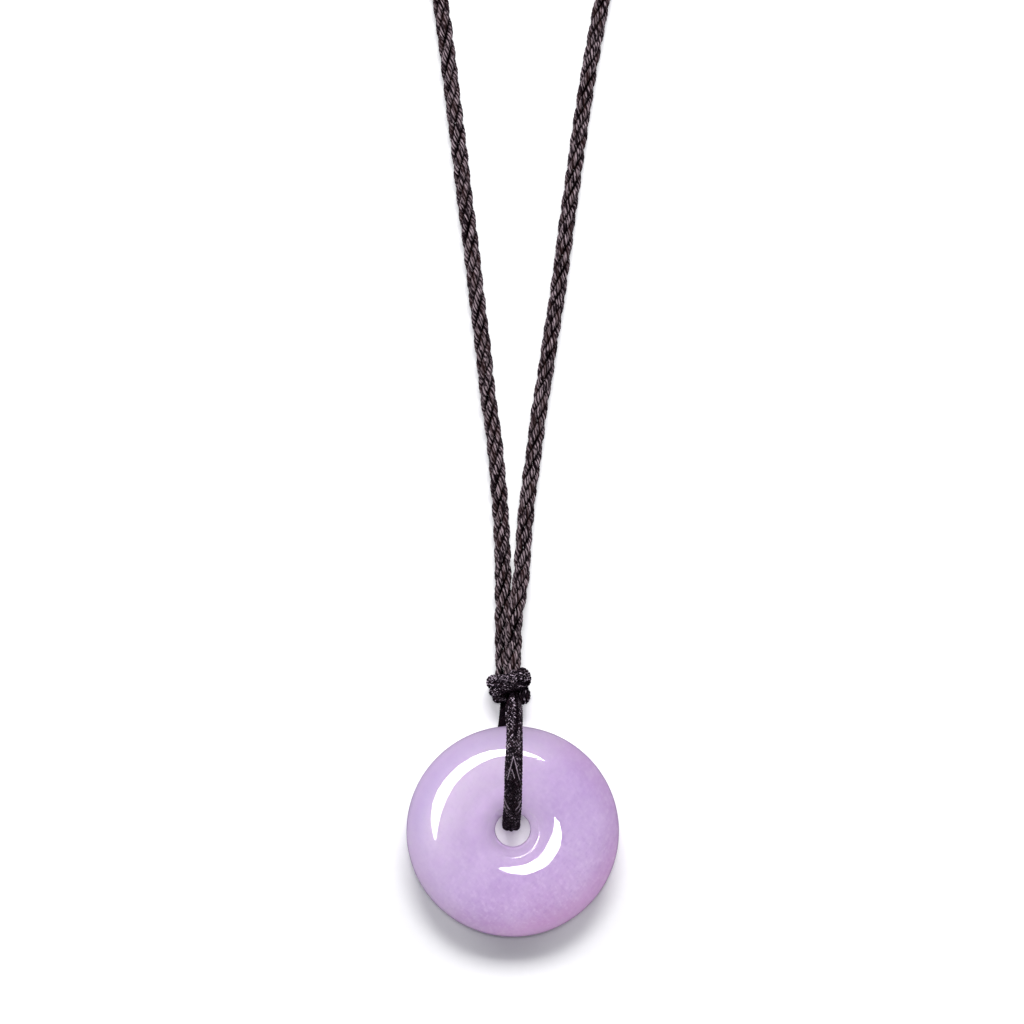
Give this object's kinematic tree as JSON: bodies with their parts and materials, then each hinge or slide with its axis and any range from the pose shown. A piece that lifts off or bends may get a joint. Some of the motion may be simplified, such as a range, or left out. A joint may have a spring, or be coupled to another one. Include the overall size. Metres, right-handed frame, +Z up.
{
  "type": "jade disc pendant on a neck cord",
  "caption": "Round lavender jade disc with a small hole, hung by two thin braided cords and a tied knot on a long dark twisted neck cord loop.",
  "frame": {"origin": "on the surface that the pendant lies on, under the middle of the disc, its thin cords and the knot together", "axes": "+X to the right as the front is seen, +Y from the disc towards the knot and the neck, +Z up out of the disc's front face"},
  "size_m": [0.0879, 0.3325, 0.0098],
  "materials": {
    "jade": "polished, cloudy, slightly see-through lavender stone",
    "braided_cord": "fine braided silky cord, brown-black",
    "twisted_cord": "four-strand twisted silky cord, brown-black"
  },
  "bodies": {
    "root": {"jade_disc": "jade", "bail_left": "braided_cord", "bail_right": "braided_cord", "knot": "braided_cord", "neck_cord": "twisted_cord"}
  },
  "joints": []
}
